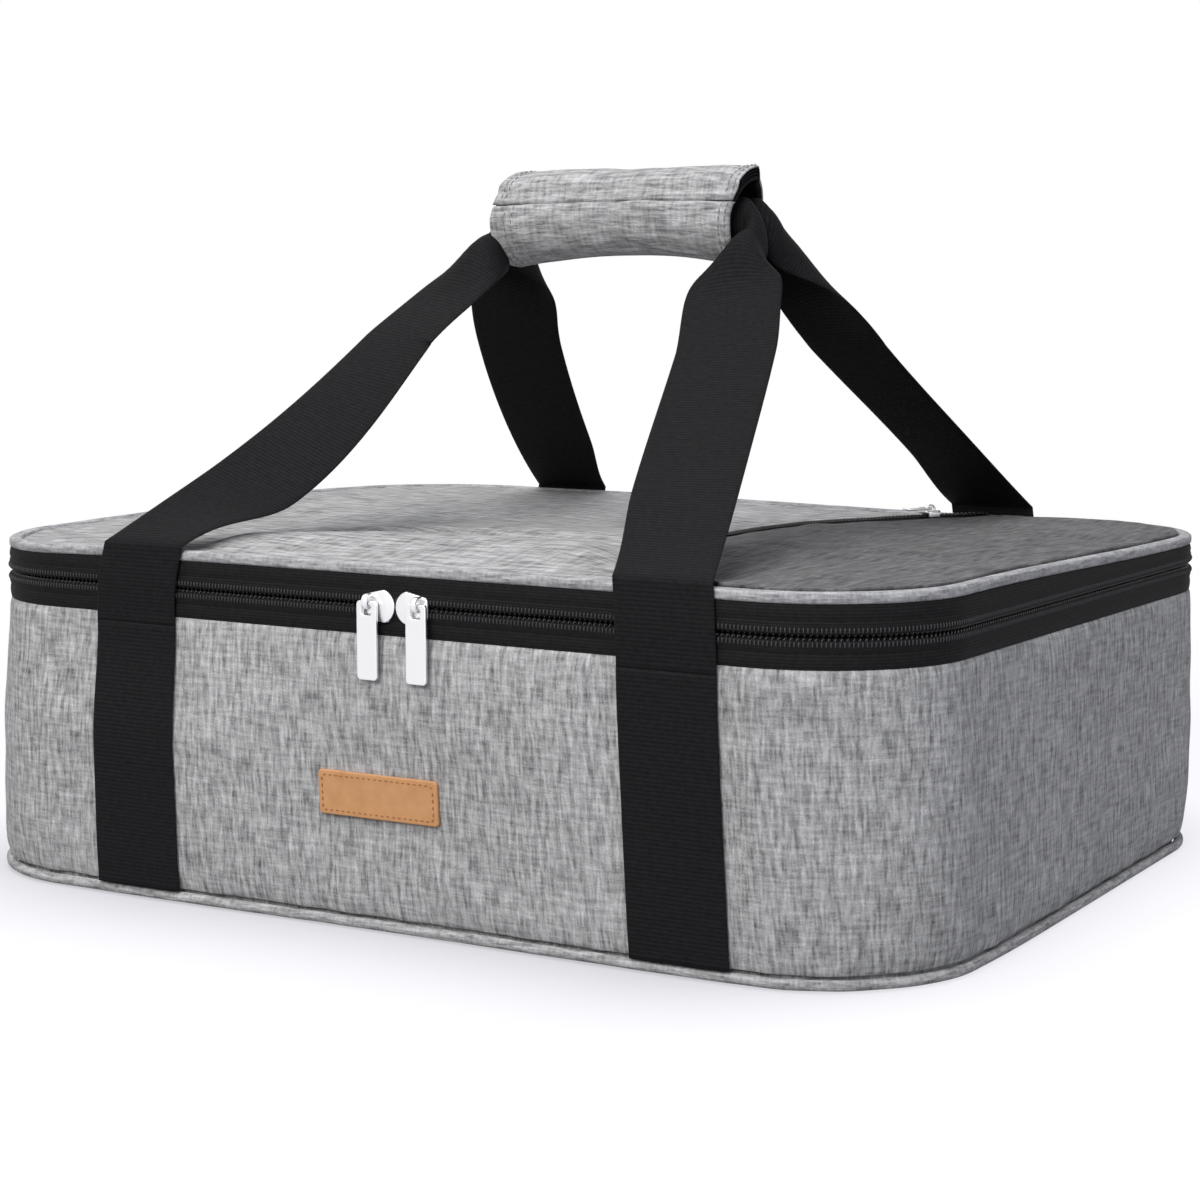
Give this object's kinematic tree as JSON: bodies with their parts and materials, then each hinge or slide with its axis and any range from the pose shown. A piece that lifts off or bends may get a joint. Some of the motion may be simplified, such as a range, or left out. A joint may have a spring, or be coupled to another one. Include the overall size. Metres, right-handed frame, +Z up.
{
  "type": "insulated food carrier bag",
  "caption": "Soft insulated carrier for a baking dish: zipped lid with a pocket, foil lining and two webbing handles that meet in a padded wrap.",
  "frame": {"origin": "middle of the base, on the surface that the bag stands on", "axes": "+Z up, +X to the right along the long front side that carries the tag, +Y towards the hinged rear side"},
  "size_m": [0.4082, 0.3286, 0.2744],
  "materials": {
    "heather_cloth": "light grey melange woven polyester",
    "dark_cloth": "dark grey melange woven polyester",
    "foam": "closed-cell polyethylene foam",
    "foil_lining": "satin aluminised film",
    "zip_tape": "black woven tape",
    "zip_coil": "black nylon coil",
    "webbing": "black ribbed webbing",
    "grip_tape": "black hook-and-loop tape",
    "leather": "tan, smooth",
    "nickel": "satin nickel plate"
  },
  "bodies": {
    "tub": {"wall_fabric": "heather_cloth", "base_fabric": "heather_cloth", "base_foam": "foam", "wall_foam": "foam", "tub_lining": "foil_lining", "base_piping": "heather_cloth", "tub_seam_binding": "zip_tape", "zip_tape_tub": "zip_tape", "zip_coil_tub": "zip_coil", "rear_hinge_strip": "heather_cloth", "strap_front_left": "webbing", "strap_front_right": "webbing", "strap_rear_left": "webbing", "strap_rear_right": "webbing", "leather_tag": "leather"},
    "lid": {"zip_tape_lid": "zip_tape", "zip_coil_lid": "zip_coil", "lid_piping": "heather_cloth", "lid_seam_binding": "zip_tape", "lid_foam": "foam", "lid_lining": "foil_lining", "lid_fabric": "heather_cloth", "pocket_panel": "dark_cloth", "pocket_zip_tape": "zip_tape", "pocket_zip_coil": "zip_coil"},
    "front_handle": {"front_webbing": "webbing", "wrap_pad": "heather_cloth", "wrap_loop_tape": "grip_tape"},
    "flap": {"wrap_flap": "heather_cloth", "wrap_hook_tape": "grip_tape"},
    "rear_handle": {"rear_webbing": "webbing"},
    "slider_left": {"zip_slider_left": "nickel"},
    "pull_left": {"zip_pull_left": "nickel"},
    "slider_right": {"zip_slider_right": "nickel"},
    "pull_right": {"zip_pull_right": "nickel"},
    "pocket_slider": {"pocket_zip_slider": "nickel"},
    "pocket_pull": {"pocket_zip_pull": "nickel"}
  },
  "joints": [
    {"name": "lid_open", "type": "hinge", "parent": "tub", "child": "lid", "pos_m": [0, 0.16, 0.117], "axis": [-1, 0, 0], "range_deg": [0, 100], "deforming": ["rear_hinge_strip"]},
    {"name": "front_handle_swing", "type": "hinge", "parent": "tub", "child": "front_handle", "pos_m": [0, -0.1621, 0.10315], "axis": [1, 0, 0], "range_deg": [0, 155], "deforming": ["front_webbing"]},
    {"name": "rear_handle_swing", "type": "hinge", "parent": "tub", "child": "rear_handle", "pos_m": [0, 0.1621, 0.10315], "axis": [-1, 0, 0], "range_deg": [0, 155]},
    {"name": "wrap_open", "type": "hinge", "parent": "front_handle", "child": "flap", "pos_m": [0, 0, 0.2394], "axis": [-1, 0, 0], "range_deg": [0, 120], "deforming": ["wrap_flap", "wrap_hook_tape"]},
    {"name": "slider_left_slide", "type": "slide", "parent": "tub", "child": "slider_left", "axis": [-1, 0, 0], "range_m": [0, 0.085]},
    {"name": "pull_left_swing", "type": "hinge", "parent": "slider_left", "child": "pull_left", "pos_m": [0.0032, -0.1636, 0.1182], "axis": [-1, 0, 0], "range_deg": [0, 170]},
    {"name": "slider_right_slide", "type": "slide", "parent": "tub", "child": "slider_right", "axis": [1, 0, 0], "range_m": [0, 0.072]},
    {"name": "pull_right_swing", "type": "hinge", "parent": "slider_right", "child": "pull_right", "pos_m": [0.0242, -0.1636, 0.1182], "axis": [-1, 0, 0], "range_deg": [0, 170]},
    {"name": "pocket_slider_travel", "type": "hinge", "parent": "lid", "child": "pocket_slider", "pos_m": [0.282, 0.015, 0.1342], "axis": [0, 0, 1], "range_deg": [0, 67]},
    {"name": "pocket_pull_flip", "type": "hinge", "parent": "pocket_slider", "child": "pocket_pull", "pos_m": [0.08239, 0.12926, 0.1365], "axis": [-0.866, 0.5, 0], "range_deg": [0, 170]}
  ],
  "couplings": [
    {"joint": "front_handle_swing", "follows": "lid_open", "ratio": 1.55},
    {"joint": "rear_handle_swing", "follows": "lid_open", "ratio": 1.55},
    {"joint": "wrap_open", "follows": "lid_open", "ratio": 1.2}
  ]
}
